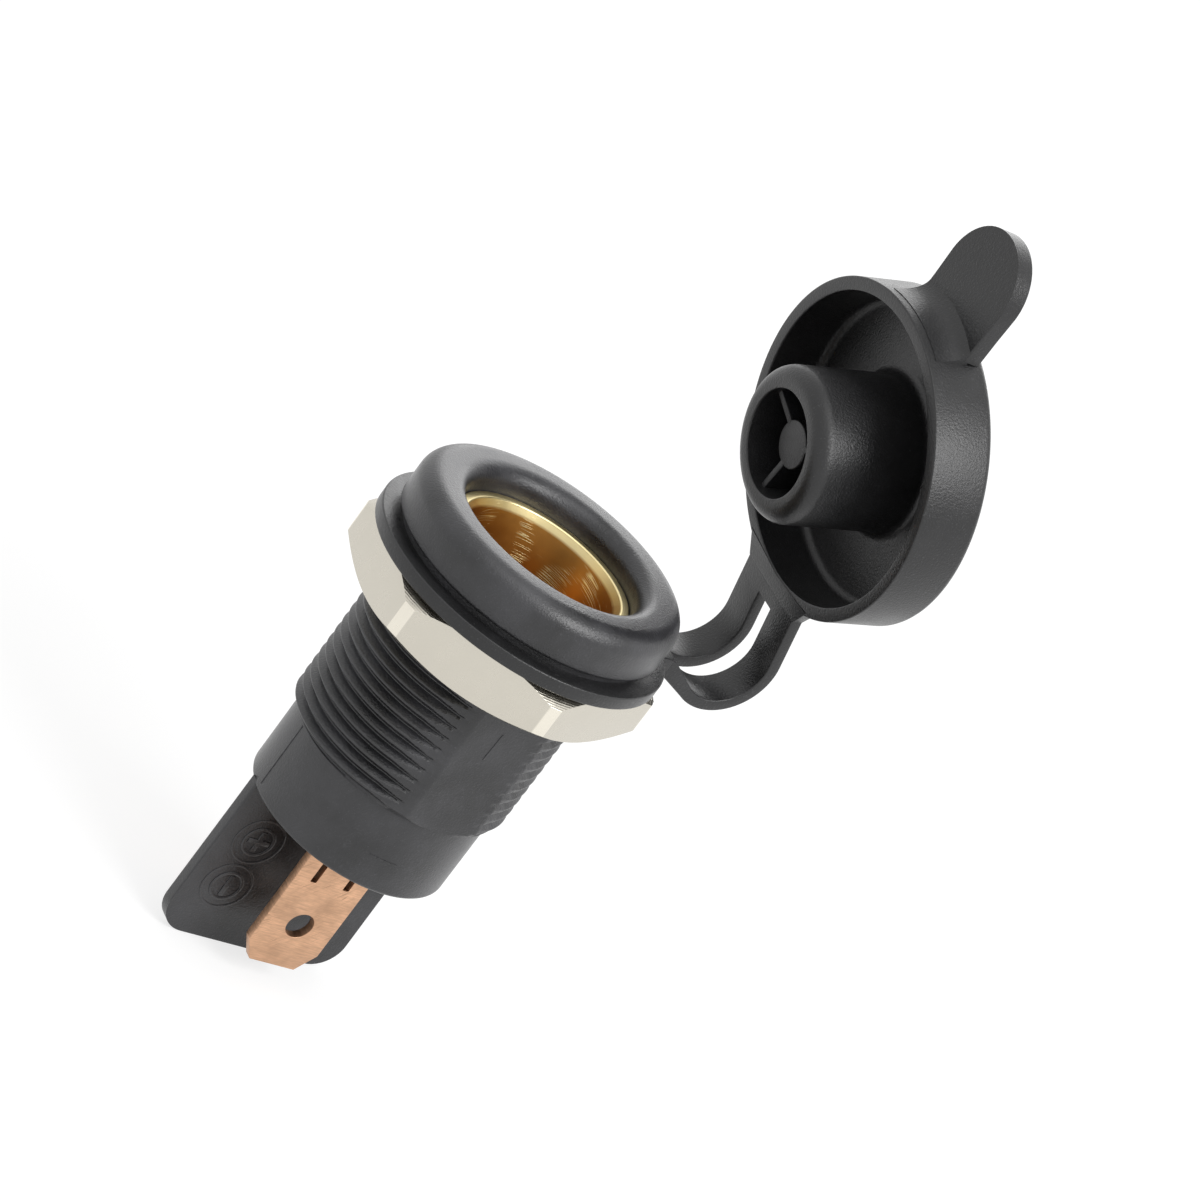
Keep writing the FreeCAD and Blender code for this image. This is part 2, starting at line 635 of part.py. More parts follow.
def swing_open(body):
    """Turn the cap about Y so that its tongue meets the free end of the straps."""
    end_x = "%s + Sizes.strap_radius * cos(%s) - Sizes.strap_rise * sin(%s)" % (BOW_X, LEAN, LEAN)
    end_z = "%s + Sizes.strap_radius * sin(%s) + Sizes.strap_rise * cos(%s)" % (BOW_Z, LEAN, LEAN)
    turn = "Sizes.open_angle"
    level = "(%s + Sizes.strap_thickness / 2)" % CAP_SEAT
    reach = "(%s)" % CAP_FACE
    body.Placement = FreeCAD.Placement(FreeCAD.Vector(), FreeCAD.Rotation(Y_AXIS, 1))
    bind(body, {
        "Placement.Rotation.Angle": turn,
        "Placement.Base.x": "%s - (%s * cos(%s) + %s * sin(%s))" % (end_x, reach, turn, level, turn),
        "Placement.Base.z": "%s - (%s * cos(%s) - %s * sin(%s))" % (end_z, level, turn, reach, turn)})
    doc.recompute()


def make_sleeve_terminal():
    """Rear blade that meets the sleeve's lower edge."""
    return make_blade("sleeve_terminal", "-(%s)" % REAR_BLADE, SLEEVE_SEAT, True)


def check(pieces):
    """Stop if any object failed or any piece is not one valid solid."""
    for item in doc.Objects:
        if "Invalid" in item.State or "Error" in item.State:
            raise RuntimeError("%s failed: %s" % (item.Name, item.State))
    for piece in pieces:
        shape = piece.Shape
        if shape.isNull() or not shape.isValid() or len(shape.Solids) != 1:
            raise RuntimeError("%s is not one valid solid" % piece.Label)


BUILDERS = (
    make_socket_body,
    make_contact_sleeve,
    make_centre_terminal,
    make_centre_contact,
    make_sleeve_terminal,
    make_panel_nut,
    make_tether_ring,
    make_tether_straps,
    make_sealing_cap)

pieces = [builder() for builder in BUILDERS]
doc.recompute()
check(pieces)
os.makedirs("parts", exist_ok=True)
for piece in pieces:
    piece.Shape.exportStep("parts/%s.step" % piece.Label)
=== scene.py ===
import math

import bmesh
import bpy
from mathutils import Matrix, Vector


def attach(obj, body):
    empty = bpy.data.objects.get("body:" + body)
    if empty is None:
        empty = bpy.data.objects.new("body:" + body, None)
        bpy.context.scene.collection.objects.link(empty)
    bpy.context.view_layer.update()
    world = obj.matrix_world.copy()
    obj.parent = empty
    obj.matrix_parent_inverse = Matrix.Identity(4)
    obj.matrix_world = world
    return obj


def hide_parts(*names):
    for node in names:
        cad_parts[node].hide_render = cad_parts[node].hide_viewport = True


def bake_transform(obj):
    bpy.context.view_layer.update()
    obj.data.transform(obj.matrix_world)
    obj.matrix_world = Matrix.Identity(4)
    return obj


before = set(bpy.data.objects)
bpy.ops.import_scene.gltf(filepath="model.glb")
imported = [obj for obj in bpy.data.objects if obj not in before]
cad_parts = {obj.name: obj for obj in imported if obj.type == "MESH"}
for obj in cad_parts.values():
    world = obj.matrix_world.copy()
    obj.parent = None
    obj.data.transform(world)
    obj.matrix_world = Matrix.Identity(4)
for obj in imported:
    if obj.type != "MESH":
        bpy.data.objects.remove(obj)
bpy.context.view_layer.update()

bl_info = {
    "name": "Panel power socket",
    "version": (1, 0, 0),
    "blender": (4, 5, 0),
    "location": "View3D > Sidebar > Socket",
    "description": "Dresses the panel power socket with its thread, metals and mouldings",
    "category": "Object",
}

MM = 0.001

# Sizes of the modelled part, in millimetres. Z is the socket axis and the seat is at zero.

# Barrel, rim and mouth.
THREAD_RADIUS = 9.0
THREAD_LOW = -15.65
THREAD_HIGH = 1.1
LEAD_BEVEL = 0.45
FLAT_HALF = 8.45
FLAT_SHIFT = 0.65
FLAT_CLEAR = 2.75
FLAT_FULL = 5.2
LOWER_RADIUS = 8.25
LOWER_END = -22.3
NECK_RADIUS = 10.4
NECK_TOP = 1.7
RIM_RADIUS = 11.05
RIM_TOP = 5.4
RIM_ROUND = 1.5
MOUTH_RADIUS = 7.4
MOUTH_ROUND = 1.2
LIP_TOP = 3.4
LIP_SEAT = 2.8
CAVITY_RADIUS = 6.85
WELL_RADIUS = 5.0
WELL_END = -16.4
# Witness lines on the lower barrel: angles in degrees and heights of both ends.
WITNESS_LINES = ((-112.0, -96.0, -19.53, -19.53), (175.5, 175.5, -21.6, -16.0))

# One pitch of the thread, as shares of it: its corners, the rows that draw it, and its crest.
THREAD_BREAKS = (0.1, 0.52, 0.6)
THREAD_PHASES = (0.0, 0.05, 0.1, 0.14, 0.18, 0.35, 0.52, 0.6, 0.76, 0.92, 0.96)
CREST_MIDDLE = 0.05
CREST_HALF = 0.13
CREST_FALL = 0.19

# Brass sleeve and nut.
SLEEVE_RADIUS = 6.8
SLEEVE_END = -13.5
BORE_RADIUS = 6.1
FLARE_RADIUS = 6.6
FLARE_LOW = 2.4
# Heights where the bore's painted shade fades out into the lip's full brass colour.
BORE_SHADE_TOP = FLARE_LOW + 0.3
LIP_UNSHADED = FLARE_LOW + 0.5
# The nut's bevelled corners stand farthest from its axis: where their painted highlight starts and
# is full.
CORNER_HIGHLIGHT_START = 12.39
CORNER_HIGHLIGHT_FULL = 12.44

# Divider plate and its marks.
PLATE_HALF = 8.15
PLATE_FRONT = 1.05
PLATE_BACK = 2.05
PLATE_END = -36.1
PLATE_CORNER = 2.4
MARK_ACROSS = -4.75
MINUS_LEVEL = -31.2
PLUS_LEVEL = -26.8
MARK_BAR = 0.95
MARK_HALF = 0.22
# Rings round a sign: outer radius, width, and share of the sign's height.
MARK_RINGS = ((2.1, 0.2, 0.7), (1.35, 0.26, 1.0))

# Straps, from the ring to the cap.
STRAP_START = (12.35, 0.35)
STRAP_SUNK = 1.2
STRAP_DIP = math.radians(28.0)
STRAP_RUN = 3.2
STRAP_RADIUS = 3.8
STRAP_LEAN = math.radians(14.25)
STRAP_RISE = 4.3
STRAP_THICKNESS = 0.95
STRAP_HALF = 4.0
SLOT_HALF = 1.0
ROOT_LENGTH = 1.4
ROOT_THICKNESS = 1.45
WEB_LENGTH = 1.2
# Places along the straight ends of a strap: the slot opens at its root and closes at the web.
RUN_STOPS = (0.0, ROOT_LENGTH / 2, ROOT_LENGTH, 2.0, 2.7)
RISE_STOPS = (1.0, 2.0, STRAP_RISE - WEB_LENGTH, STRAP_RISE, STRAP_RISE + WEB_LENGTH / 2)

# Cap, in its own frame before it is swung open.
CAP_OPEN = math.radians(75.75)
CAP_PLACE = (14.62828, 0.0, 19.20212)
CAP_SEAT = 1.4
CAP_TOP = 6.35
CAP_CEILING = 5.6
CAP_RADIUS = 12.45
SKIRT_RADIUS = 11.4
TONGUE_REACH = CAP_RADIUS + 0.3
TONGUE_CORNER = SKIRT_RADIUS - 0.4
TONGUE_HOLLOW = SKIRT_RADIUS + 0.25
TONGUE_FLARE = 5.2
PLUG_RADIUS = 5.75
PLUG_TIP = -3.75
PLUG_ROUND = 1.2
PLUG_HOLE = 3.95
BOSS_RADIUS = 1.8
BOSS_TIP = -2.45
RIB_START = BOSS_TIP + 0.05
RIB_TIP = -3.1
RIB_HALF = 0.28
RIB_TURN = math.radians(125.0)
RIB_COUNT = 3
TAB_PLACE = (-11.55, 0.0, 5.0)
TAB_TILT = math.radians(14.0)
TAB_REACH = 8.4
TAB_SHIFT = 0.95
TAB_HALF = 4.05
TAB_THICKNESS = 1.4

# Stands a plate on its edge: its outline's second axis becomes Z.
ON_EDGE = Matrix(((1, 0, 0, 0), (0, 0, 1, 0), (0, 1, 0, 0), (0, 0, 0, 1)))

# Columns round a turned piece.
COLUMNS = 240
BARREL_COLUMNS = 320
MARK_COLUMNS = 96

# Camera of the photograph, in the part's frame.
CAMERA_PLACE = Vector((-214.376, -248.46, 136.287)) * MM
CAMERA_RIGHT = Vector((0.74639, -0.36102, 0.55907))
CAMERA_UP = Vector((-0.2518, 0.62441, 0.73941))
CAMERA_BACK = Vector((-0.61603, -0.69265, 0.37514))
CAMERA_LENS = 150.02
CAMERA_SENSOR = 36.0

# Softboxes: direction as camera right, up and back, then distance, width in metres and radiance.
SOFTBOXES = (
    ("side_softbox", 0.78, -0.02, 0.62, 0.4, 0.22, 6.2),
    ("top_softbox", 0.46, 0.6, 0.65, 0.42, 0.26, 1.0),
    ("back_softbox", 0.42, 0.56, -0.72, 0.42, 0.3, 1.5),
)
LIT_PLACE = Vector((6.0, 0.0, -4.0)) * MM
FLOOR_REACH = 3.0
FLOOR_GAP = 0.05
FLOOR_GLOW = 0.74
AMBIENT = 0.55


def linear(hex_colour):
    """Linear red, green and blue of an sRGB hex colour."""
    parts = [int(hex_colour[i:i + 2], 16) / 255 for i in (0, 2, 4)]
    return tuple(c / 12.92 if c <= 0.04045 else ((c + 0.055) / 1.055) ** 2.4 for c in parts)


def colour_setting(name, hex_colour, description):
    """Colour property whose default is an sRGB hex colour."""
    return bpy.props.FloatVectorProperty(
        name=name, description=description, subtype="COLOR", size=3, min=0, max=1,
        default=linear(hex_colour))


def length_setting(name, millimetres, description):
    """Length property whose default is given in millimetres."""
    return bpy.props.FloatProperty(
        name=name, description=description, unit="LENGTH", precision=5, min=0,
        default=millimetres * MM)


class SocketSizes(bpy.types.PropertyGroup):
    """Sizes of the detail that the dressing adds"""
    pitch: length_setting(
        "Thread pitch", 1.0, "Distance between two crests of the barrel's thread")
    depth: length_setting(
        "Thread depth", 0.55, "Depth of the thread's groove below its crest")
    mark_height: length_setting(
        "Mark height", 0.07, "How far the polarity marks stand out of the divider")
    edge_round: length_setting(
        "Edge rounding", 0.12, "Rounding of the edges of metal and moulded pieces")


class SocketColours(bpy.types.PropertyGroup):
    """Colours of the socket's materials"""
    body: colour_setting("Body", "242426", "Moulded nylon of the barrel and the rim")
    cap: colour_setting("Cap", "232324", "Soft PVC of the ring, the straps and the cap")
    # Brass is darkened with painted shade of the recess in the bore; the lip keeps the full brass
    # colour.
    brass: colour_setting("Brass", "a2733a", "Tarnished brass in the bore of the contact sleeve")
    lip: colour_setting("Brass lip", "f3e2ac", "Brass of the lip, which plugs keep bright")
    copper: colour_setting("Copper", "d9ae8d", "Punched copper of the blades")
    nickel: colour_setting("Nickel", "cdc8bc", "Nickel plating of the nut")
    floor: colour_setting("Floor", "9c9c9c", "Paper under the part")


def opaque(colour):
    """Colour with full alpha for a shader socket."""
    return (colour[0], colour[1], colour[2], 1.0)


def tinted(colour, factor):
    """Lighter or darker version of a colour."""
    return tuple(min(1.0, c * factor) for c in colour) + (1.0,)


def add_node(tree, kind, inputs=None, **settings):
    """Add one node with its settings, and set or link its inputs."""
    made = tree.nodes.new(kind)
    for name, value in settings.items():
        setattr(made, name, value)
    for socket, value in (inputs or {}).items():
        if isinstance(value, bpy.types.NodeSocket):
            tree.links.new(value, made.inputs[socket])
        else:
            made.inputs[socket].default_value = value
    return made


def new_material(name):
    """Empty node material with its principled shader and the part's own coordinates."""
    material = bpy.data.materials.new(name)
    material.use_nodes = True
    tree = material.node_tree
    tree.nodes.clear()
    shader = add_node(tree, "ShaderNodeBsdfPrincipled")
    add_node(tree, "ShaderNodeOutputMaterial", {"Surface": shader.outputs[0]})
    place = add_node(tree, "ShaderNodeTexCoord").outputs["Object"]
    return material, tree, shader, place


def per_metre(millimetres):
    """Texture scale that gives one feature in this many millimetres."""
    return 1.0 / (millimetres * MM)


def scratch_lines(tree, place, size, turn, width):
    """Broken thin lines: the middle level of a noise of this size in millimetres, in patches."""
    mapped = add_node(tree, "ShaderNodeMapping", {
        "Vector": place, "Scale": tuple(length * MM for length in size), "Rotation": turn},
        vector_type="TEXTURE")
    wander = add_node(tree, "ShaderNodeTexNoise", {
        "Vector": mapped.outputs[0], "Scale": 1.0, "Detail": 0.0})
    line = add_node(tree, "ShaderNodeMath", {
        0: wander.outputs["Fac"], 1: 0.5, 2: width}, operation="COMPARE")
    patch = add_node(tree, "ShaderNodeTexNoise", {
        "Vector": place, "Scale": per_metre(2.5), "Detail": 2.0})
    kept = add_node(tree, "ShaderNodeMapRange", {
        "Value": patch.outputs["Fac"], "From Min": 0.48, "From Max": 0.6,
        "To Min": 0.0, "To Max": 1.0})
    both = add_node(tree, "ShaderNodeMath", {
        0: line.outputs[0], 1: kept.outputs["Result"]}, operation="MULTIPLY")
    return both.outputs[0]


def moulded_plastic(name, colour, roughness, shine, bloom, painted_glint, scuffed):
    """Satin thermoplastic from a spark-eroded mould, with a cloudy bloom, faint scuffs and painted
    glints.
    """
    material, tree, shader, place = new_material(name)
    # Real spark-eroded grain is about 0.05 mm; it is drawn at 0.17 mm so that it shows.
    grain = add_node(tree, "ShaderNodeTexNoise", {
        "Vector": place, "Scale": per_metre(0.17), "Detail": 2.5, "Roughness": 0.65})
    cloud = add_node(tree, "ShaderNodeTexNoise", {
        "Vector": place, "Scale": per_metre(5.0), "Detail": 4.0, "Roughness": 0.6})
    tone = add_node(tree, "ShaderNodeMapRange", {
        "Value": cloud.outputs["Fac"], "From Min": 0.36, "From Max": 0.68,
        "To Min": 0.0, "To Max": 1.0})
    shade = add_node(tree, "ShaderNodeMix", {
        "Factor": tone.outputs["Result"], "A": tinted(colour, 0.8), "B": tinted(colour, bloom)},
        data_type="RGBA")
    # Painted glints: where the grain is highest the colour turns to bright dots that stand in for
    # light sparkling on it.
    glint_mask = add_node(tree, "ShaderNodeMapRange", {
        "Value": grain.outputs["Fac"], "From Min": 0.62, "From Max": 0.74,
        "To Min": 0.0, "To Max": painted_glint})
    with_painted_glints = add_node(tree, "ShaderNodeMix", {
        "Factor": glint_mask.outputs["Result"], "A": shade.outputs["Result"], "B": tinted(colour, 6.0)},
        data_type="RGBA")
    lines = scratch_lines(tree, place, (0.2, 0.2, 5.0), (0.5, 0.35, 0.0), 0.03)
    faint = add_node(tree, "ShaderNodeMath", {0: lines, 1: scuffed}, operation="MULTIPLY")
    marked = add_node(tree, "ShaderNodeMix", {
        "Factor": faint.outputs[0], "A": with_painted_glints.outputs["Result"], "B": tinted(colour, 5.0)},
        data_type="RGBA")
    gloss = add_node(tree, "ShaderNodeMapRange", {
        "Value": cloud.outputs["Fac"], "From Min": 0.3, "From Max": 0.7,
        "To Min": roughness - 0.05, "To Max": roughness + 0.06})
    relief = add_node(tree, "ShaderNodeBump", {
        "Height": grain.outputs["Fac"], "Strength": 1.0, "Distance": 0.038 * MM})
    tree.links.new(marked.outputs["Result"], shader.inputs["Base Color"])
    tree.links.new(gloss.outputs["Result"], shader.inputs["Roughness"])
    tree.links.new(relief.outputs["Normal"], shader.inputs["Normal"])
    shader.inputs["IOR"].default_value = 1.5
    shader.inputs["Specular IOR Level"].default_value = shine
    return material


def drawn_brass(colour, bright):
    """Drawn brass: a bright lip, and a bore in painted shade with cloudy tarnish and pale plug
    scratches.
    """
    material, tree, shader, place = new_material("drawn_brass")
    tarnish = add_node(tree, "ShaderNodeTexNoise", {
        "Vector": place, "Scale": per_metre(3.0), "Detail": 4.0, "Roughness": 0.6})
    shade = add_node(tree, "ShaderNodeMix", {
        "Factor": tarnish.outputs["Fac"], "A": tinted(colour, 0.86), "B": tinted(colour, 1.12)},
        data_type="RGBA")
    lines = scratch_lines(tree, place, (5.0, 5.0, 0.2), (0.12, -0.1, 0.0), 0.03)
    pale = add_node(tree, "ShaderNodeMix", {
        "Factor": lines, "A": shade.outputs["Result"], "B": tinted(bright, 0.8)}, data_type="RGBA")
    height = add_node(tree, "ShaderNodeSeparateXYZ", {"Vector": place})
    # Painted shade: the bore takes the darkened brass colour, which fades out into the lip's full
    # brass colour towards the top.
    lip = add_node(tree, "ShaderNodeMapRange", {
        "Value": height.outputs["Z"], "From Min": BORE_SHADE_TOP * MM, "From Max": LIP_UNSHADED * MM,
        "To Min": 0.0, "To Max": 1.0})
    painted_light_mix = add_node(tree, "ShaderNodeMix", {
        "Factor": lip.outputs["Result"], "A": pale.outputs["Result"], "B": opaque(bright)},
        data_type="RGBA")
    gloss = add_node(tree, "ShaderNodeMapRange", {
        "Value": tarnish.outputs["Fac"], "From Min": 0.3, "From Max": 0.7,
        "To Min": 0.28, "To Max": 0.4})
    relief = add_node(tree, "ShaderNodeBump", {
        "Height": lines, "Strength": 0.4, "Distance": 0.02 * MM})
    tree.links.new(painted_light_mix.outputs["Result"], shader.inputs["Base Color"])
    tree.links.new(gloss.outputs["Result"], shader.inputs["Roughness"])
    tree.links.new(relief.outputs["Normal"], shader.inputs["Normal"])
    shader.inputs["Metallic"].default_value = 1.0
    return material


def punched_copper(colour):
    """Rolled copper strip: rolling marks across the blade, a blotchy tone and dull scratches."""
    material, tree, shader, place = new_material("punched_copper")
    # Real rolling marks are about 0.02 mm apart; they are drawn at 0.12 mm so that they show.
    mapped = add_node(tree, "ShaderNodeMapping", {
        "Vector": place, "Scale": (per_metre(1.2), per_metre(1.2), per_metre(0.12))})
    rolling = add_node(tree, "ShaderNodeTexNoise", {
        "Vector": mapped.outputs[0], "Scale": 1.0, "Detail": 3.0, "Roughness": 0.65})
    blotch = add_node(tree, "ShaderNodeTexNoise", {
        "Vector": place, "Scale": per_metre(2.2), "Detail": 3.0})
    mixed = add_node(tree, "ShaderNodeMath", {
        0: rolling.outputs["Fac"], 1: blotch.outputs["Fac"]}, operation="MULTIPLY")
    tone = add_node(tree, "ShaderNodeMapRange", {
        "Value": mixed.outputs[0], "From Min": 0.12, "From Max": 0.4, "To Min": 0.0, "To Max": 1.0})
    shade = add_node(tree, "ShaderNodeMix", {
        "Factor": tone.outputs["Result"], "A": tinted(colour, 0.7), "B": tinted(colour, 1.15)},
        data_type="RGBA")
    lines = scratch_lines(tree, place, (0.14, 0.6, 3.2), (0.0, 0.75, 0.0), 0.035)
    scored = add_node(tree, "ShaderNodeMix", {
        "Factor": lines, "A": shade.outputs["Result"], "B": tinted(colour, 0.72)}, data_type="RGBA")
    gloss = add_node(tree, "ShaderNodeMapRange", {
        "Value": rolling.outputs["Fac"], "From Min": 0.3, "From Max": 0.7,
        "To Min": 0.36, "To Max": 0.52})
    relief = add_node(tree, "ShaderNodeBump", {
        "Height": rolling.outputs["Fac"], "Strength": 0.35, "Distance": 0.03 * MM})
    tree.links.new(scored.outputs["Result"], shader.inputs["Base Color"])
    tree.links.new(gloss.outputs["Result"], shader.inputs["Roughness"])
    tree.links.new(relief.outputs["Normal"], shader.inputs["Normal"])
    shader.inputs["Metallic"].default_value = 1.0
    return material


def nickel_plate(colour):
    """Nickel over turned steel: even flats, painted highlights on the bevelled corners, and lathe
    rings on the chamfer.
    """
    material, tree, shader, place = new_material("nickel_plated_steel")
    cloud = add_node(tree, "ShaderNodeTexNoise", {
        "Vector": place, "Scale": per_metre(1.5), "Detail": 3.0})
    # One ring each 0.16 mm: a wave texture gives a ring in about 0.31 of its unit.
    rings = add_node(tree, "ShaderNodeTexWave", {
        "Vector": place, "Scale": per_metre(0.16) * 0.31, "Distortion": 1.2, "Detail": 2.0},
        wave_type="RINGS", rings_direction="Z")
    facing = add_node(tree, "ShaderNodeSeparateXYZ", {
        "Vector": add_node(tree, "ShaderNodeNewGeometry").outputs["True Normal"]})
    steep = add_node(tree, "ShaderNodeMath", {0: facing.outputs["Z"]}, operation="ABSOLUTE")
    turned = add_node(tree, "ShaderNodeMapRange", {
        "Value": steep.outputs[0], "From Min": 0.3, "From Max": 0.5, "To Min": 0.0, "To Max": 1.0})
    ridged = add_node(tree, "ShaderNodeMath", {
        0: rings.outputs["Fac"], 1: turned.outputs["Result"]}, operation="MULTIPLY")
    shade = add_node(tree, "ShaderNodeMix", {
        "Factor": cloud.outputs["Fac"], "A": tinted(colour, 0.93), "B": tinted(colour, 1.04)},
        data_type="RGBA")
    # Painted highlight: the bevelled corners, farthest from the axis, are drawn much lighter than
    # the flats.
    across = add_node(tree, "ShaderNodeVectorMath", {
        0: place, 1: (1.0, 1.0, 0.0)}, operation="MULTIPLY")
    radius = add_node(tree, "ShaderNodeVectorMath", {
        0: across.outputs["Vector"]}, operation="LENGTH")
    corner = add_node(tree, "ShaderNodeMapRange", {
        "Value": radius.outputs["Value"], "From Min": CORNER_HIGHLIGHT_START * MM,
        "From Max": CORNER_HIGHLIGHT_FULL * MM, "To Min": 0.0, "To Max": 1.0})
    painted_light_mix = add_node(tree, "ShaderNodeMix", {
        "Factor": corner.outputs["Result"], "A": shade.outputs["Result"],
        "B": tinted(colour, 1.32)}, data_type="RGBA")
    gloss = add_node(tree, "ShaderNodeMapRange", {
        "Value": cloud.outputs["Fac"], "From Min": 0.3, "From Max": 0.7,
        "To Min": 0.2, "To Max": 0.3})
    relief = add_node(tree, "ShaderNodeBump", {
        "Height": ridged.outputs[0], "Strength": 0.4, "Distance": 0.02 * MM})
    tree.links.new(painted_light_mix.outputs["Result"], shader.inputs["Base Color"])
    tree.links.new(gloss.outputs["Result"], shader.inputs["Roughness"])
    tree.links.new(relief.outputs["Normal"], shader.inputs["Normal"])
    shader.inputs["Metallic"].default_value = 1.0
    return material


def finish(name):
    """Material of this name, made once from the scene's colours."""
    found = bpy.data.materials.get(name)
    if found:
        return found
    colours = bpy.context.scene.socket_colours
    makers = {
        "moulded_nylon": lambda: moulded_plastic(
            name, colours.body, roughness=0.31, shine=0.62, bloom=2.4, painted_glint=0.35, scuffed=0.16),
        "moulded_soft_pvc": lambda: moulded_plastic(
            name, colours.cap, roughness=0.32, shine=0.52, bloom=1.22, painted_glint=0.45, scuffed=0.05),
        "drawn_brass": lambda: drawn_brass(colours.brass, colours.lip),
        "punched_copper": lambda: punched_copper(colours.copper),
        "nickel_plated_steel": lambda: nickel_plate(colours.nickel)}
    return makers[name]()


def arc(centre, radius, start, end, steps=8):
    """Points of a profile's rounded corner, angles in degrees."""
    points = []
    for i in range(steps + 1):
        angle = math.radians(start + (end - start) * i / steps)
        points.append((centre[0] + radius * math.cos(angle), centre[1] + radius * math.sin(angle)))
    return points


def fixed_row(point):
    """Row of a turned shape that is the same at every angle."""
    return lambda angle: point


def turn_rows(bm, rows, columns=COLUMNS, place=Matrix.Identity(4)):
    """Skin the rows of a turned shape, each of which gives radius and height at an angle."""
    previous = None
    for row in rows:
        current = []
        for k in range(columns + 1):
            angle = 2 * math.pi * k / columns
            radius, height = row(angle)
            point = Vector((radius * math.cos(angle), radius * math.sin(angle), height))
            current.append(bm.verts.new(place @ point))
        if previous:
            for k in range(columns):
                bm.faces.new((previous[k], previous[k + 1], current[k + 1], current[k]))
        previous = current


def turn_profile(bm, points, columns=COLUMNS, place=Matrix.Identity(4)):
    """Skin a profile of radius and height turned about Z."""
    turn_rows(bm, [fixed_row(point) for point in points], columns, place)


def round_edges(bm, edges, rounding, segments=3):
    """Round these edges of a mesh."""
    bmesh.ops.bevel(bm, geom=edges, offset=rounding, segments=segments, profile=0.5,
                    affect="EDGES", clamp_overlap=True)


def sharp_edges(bm, degrees):
    """Edges of a mesh whose faces meet at more than this angle."""
    return [edge for edge in bm.edges
            if edge.is_manifold and edge.calc_face_angle() > math.radians(degrees)]


def slab(bm, outline, low, high, rounding, place=Matrix.Identity(4), segments=3):
    """Plate with an outline in XY, between two heights, with its edges rounded."""
    below = [bm.verts.new(place @ Vector((x, y, low))) for x, y in outline]
    above = [bm.verts.new(place @ Vector((x, y, high))) for x, y in outline]
    count = len(outline)
    faces = [bm.faces.new(below[::-1]), bm.faces.new(above)]
    for i in range(count):
        j = (i + 1) % count
        faces.append(bm.faces.new((below[i], below[j], above[j], above[i])))
    rim = [edge for face in faces[:2] for edge in face.edges]
    uprights = [edge for face in faces[2:] for edge in face.edges if edge not in rim]
    sharp = [edge for edge in set(uprights) if edge.calc_face_angle() > math.radians(35)]
    round_edges(bm, rim + sharp, rounding, segments)


def box_outline(left, right, low, high):
    """Corners of a rectangle, counterclockwise."""
    return ((left, low), (right, low), (right, high), (left, high))


def to_object(bm, name, material, crease=32.0, scale=MM):
    """Clean a mesh and add it to the scene in metres as a smooth-shaded piece."""
    micron = 1e-3 if scale == MM else 1e-6
    bmesh.ops.remove_doubles(bm, verts=bm.verts, dist=micron)
    bmesh.ops.dissolve_degenerate(bm, edges=bm.edges, dist=micron / 10)
    bmesh.ops.recalc_face_normals(bm, faces=bm.faces)
    for face in bm.faces:
        face.smooth = True
    for edge in bm.edges:
        edge.smooth = not (edge.is_manifold and edge.calc_face_angle() > math.radians(crease))
    bmesh.ops.scale(bm, vec=(scale, scale, scale), verts=bm.verts)
    mesh = bpy.data.meshes.new(name)
    bm.to_mesh(mesh)
    bm.free()
    piece = bpy.data.objects.new(name, mesh)
    bpy.context.scene.collection.objects.link(piece)
    mesh.materials.append(finish(material))
    return piece


def rounded_copy(node, name, rounding, material, body):
    """Copy of a modelled node with its sharp edges rounded, which stands for the node."""
    bm = bmesh.new()
    bm.from_mesh(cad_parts[node].data)
    bmesh.ops.remove_doubles(bm, verts=bm.verts, dist=1e-6)
    bmesh.ops.dissolve_limit(bm, angle_limit=math.radians(0.5), verts=bm.verts, edges=bm.edges)
    round_edges(bm, sharp_edges(bm, 28), rounding)
    piece = to_object(bm, name, material, scale=1.0)
    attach(piece, body)
    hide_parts(node)
    return piece


def thread_groove(phase):
    """Share of the thread's depth at a phase: rounded crest, straight flanks, narrow root."""
    crest_end, root_start, root_end = THREAD_BREAKS
    from_crest = abs((phase - CREST_MIDDLE + 0.5) % 1.0 - 0.5)
    if from_crest < CREST_HALF:
        return CREST_FALL * (from_crest / CREST_HALF) ** 2
    if phase < root_start:
        return (phase - crest_end) / (root_start - crest_end)
    if phase < root_end:
        return 1.0
    return (1.0 - phase) / (1.0 - root_end)


def thread_rows(pitch, depth):
    """Rows of the barrel that follow the helix, so that each crest is a clean line."""
    turns = math.ceil((THREAD_HIGH - THREAD_LOW) / pitch) + 1

    def radius(angle, height, phase):
        side = math.copysign(FLAT_SHIFT, -math.sin(angle))
        across = abs(THREAD_RADIUS * math.cos(angle) + side)
        run_out = min(1.0, max(0.0, (across - FLAT_CLEAR) / (FLAT_FULL - FLAT_CLEAR)))
        cut = THREAD_RADIUS - depth * max(0.0, thread_groove(phase) + run_out - 1.0)
        bevelled = THREAD_RADIUS - LEAD_BEVEL + max(0.0, height - THREAD_LOW)
        flat = FLAT_HALF / max(abs(math.sin(angle)), 1e-6)
        return min(cut, bevelled, flat)

    def row(turn, phase):
        def at(angle):
            climb = THREAD_LOW + pitch * (turn - 1 + phase + angle / (2 * math.pi))
            height = min(max(climb, THREAD_LOW), THREAD_HIGH)
            shown = ((height - THREAD_LOW) / pitch - angle / (2 * math.pi)) % 1.0
            return radius(angle, height, phase if height == climb else shown), height
        return at

    return [row(turn, phase) for turn in range(turns + 1) for phase in THREAD_PHASES]


def ridge(bm, start, end, width, height, facing):
    """Thin raised line from one point to another on a surface that faces a direction."""
    start = Vector(start)
    run = Vector(end) - start
    side = run.normalized()
    up = Vector(facing).normalized()
    place = Matrix.Translation(start) @ Matrix((side, up.cross(side), up)).transposed().to_4x4()
    outline = box_outline(0, run.length, -width / 2, width / 2)
    slab(bm, outline, -height, height, width / 3, place, 2)


